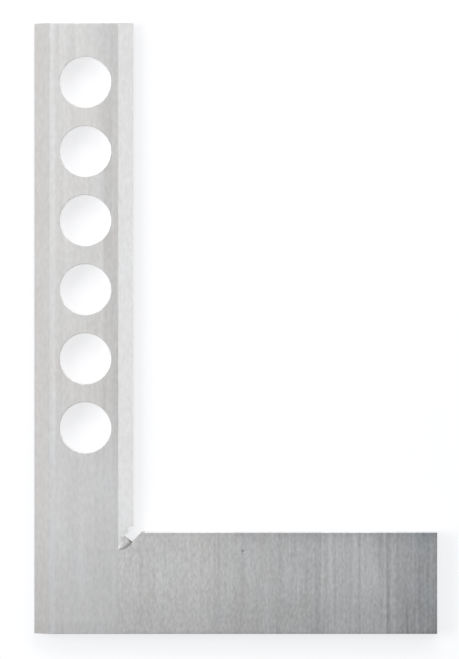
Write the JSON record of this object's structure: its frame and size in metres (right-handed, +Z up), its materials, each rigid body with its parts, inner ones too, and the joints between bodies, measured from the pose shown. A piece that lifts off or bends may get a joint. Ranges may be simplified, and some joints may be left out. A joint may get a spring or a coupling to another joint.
{
  "type": "steel square",
  "caption": "L-shaped steel square with a drilled knife-edge blade, a plain beam and a relief slot in the inner corner.",
  "frame": {"origin": "centre of the footprint on the underside, with the square lying flat", "axes": "+X along the beam away from the blade, +Y up the blade away from the beam, +Z up through the thickness"},
  "size_m": [0.099, 0.15, 0.006],
  "materials": {
    "blade_steel": "fine ground steel, grain along the blade, brighter on the ground edges",
    "beam_steel": "fine ground steel, slightly mottled, grain across the beam"
  },
  "bodies": {
    "root": {"blade": "blade_steel", "beam": "beam_steel"}
  },
  "joints": []
}
